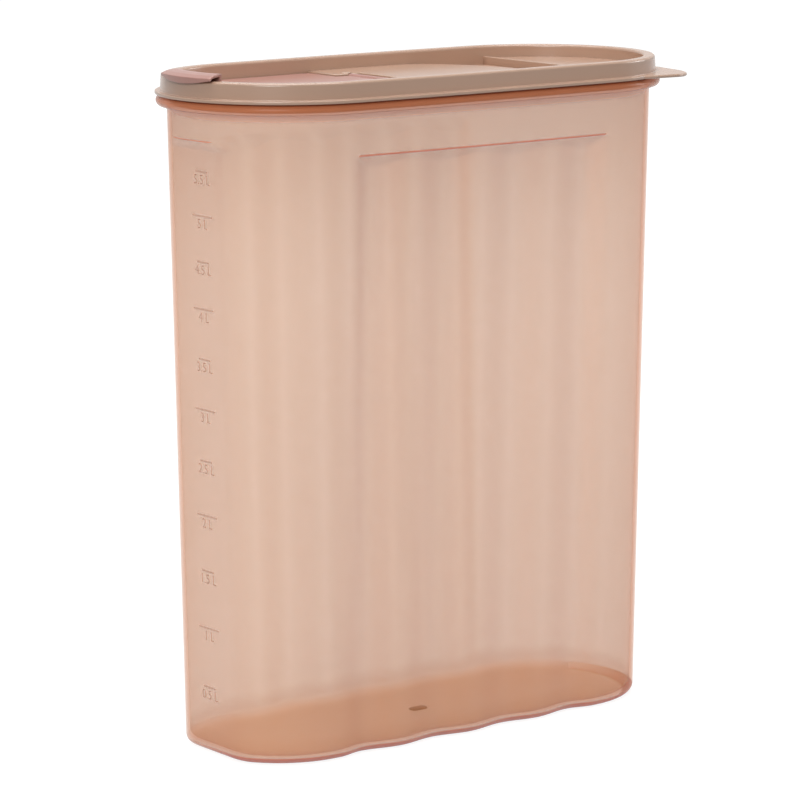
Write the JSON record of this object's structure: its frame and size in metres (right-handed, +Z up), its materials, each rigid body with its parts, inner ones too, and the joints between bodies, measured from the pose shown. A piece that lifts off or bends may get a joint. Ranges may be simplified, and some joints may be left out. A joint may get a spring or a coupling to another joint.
{
  "type": "cereal container with flip spout",
  "caption": "Tall oval dry-food container with fluted sides, a press-on seal and a hinged pouring flap.",
  "frame": {"origin": "centre of the oval base, on the surface that it stands on", "axes": "+X along the length towards the grip end, with the pouring end at -X, +Z up; the near long side faces -Y"},
  "size_m": [0.254, 0.116, 0.301],
  "materials": {
    "container": "satin, translucent",
    "seal": "satin",
    "flap": "satin"
  },
  "bodies": {
    "container": {"container_body": "container"},
    "seal": {"seal": "seal"},
    "flap": {"pour_flap": "flap"}
  },
  "joints": [
    {"name": "seal_lift", "type": "slide", "parent": "container", "child": "seal", "axis": [0, 0, 1], "range_m": [0, 0.06]},
    {"name": "flap_hinge", "type": "hinge", "parent": "seal", "child": "flap", "pos_m": [-0.014, 0, 0.2904], "axis": [0, 1, 0], "range_deg": [0, 150]}
  ]
}
